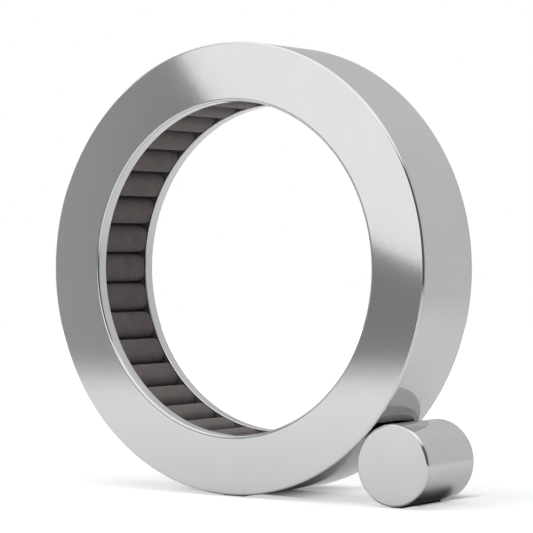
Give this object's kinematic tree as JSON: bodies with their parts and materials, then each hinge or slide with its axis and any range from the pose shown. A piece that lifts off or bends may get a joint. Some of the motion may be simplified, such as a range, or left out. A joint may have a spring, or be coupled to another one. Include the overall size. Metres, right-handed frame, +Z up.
{
  "type": "jewelry organizer",
  "caption": "Ring-shaped jewelry organizer: a polished steel hoop stands on edge against a round foot, its bore lined with padded suede rolls that grip finger rings.",
  "frame": {"origin": "on the table, centred on the flat sole of the pad under the hoop, at mid depth", "axes": "+X from the hoop to its foot, +Y along the hoop's axis away from the front face, +Z up"},
  "size_m": [0.2216, 0.045, 0.2206],
  "materials": {
    "mirror_steel": "mirror polished",
    "satin_steel": "fine satin",
    "suede": "short-napped suede",
    "liner_felt": "felt",
    "core_plastic": "moulded",
    "fixing_steel": "zinc plated",
    "ballast_iron": "as cast",
    "pad_rubber": "matt"
  },
  "bodies": {
    "root": {"outer_band": "mirror_steel", "front_plate": "satin_steel", "back_plate": "satin_steel", "front_lip": "mirror_steel", "back_lip": "mirror_steel", "core_frame": "core_plastic", "channel_liner": "liner_felt", "front_studs": "fixing_steel", "back_studs": "fixing_steel", "saddle_plate": "fixing_steel", "foot_tube": "mirror_steel", "foot_front_cap": "satin_steel", "foot_back_cap": "satin_steel", "foot_ballast": "ballast_iron", "foot_screws": "fixing_steel", "ring_pad": "pad_rubber", "foot_pad": "pad_rubber", "roll_01": "suede", "roll_02": "suede", "roll_03": "suede", "roll_04": "suede", "roll_05": "suede", "roll_06": "suede", "roll_07": "suede", "roll_08": "suede", "roll_09": "suede", "roll_10": "suede", "roll_11": "suede", "roll_12": "suede", "roll_13": "suede", "roll_14": "suede", "roll_15": "suede", "roll_16": "suede", "roll_17": "suede", "roll_18": "suede", "roll_19": "suede", "roll_20": "suede", "roll_21": "suede", "roll_22": "suede", "roll_23": "suede", "roll_24": "suede", "roll_25": "suede", "roll_26": "suede", "roll_27": "suede", "roll_28": "suede", "roll_29": "suede", "roll_30": "suede", "roll_31": "suede", "roll_32": "suede", "roll_33": "suede", "roll_34": "suede", "roll_35": "suede", "roll_36": "suede"}
  },
  "joints": []
}
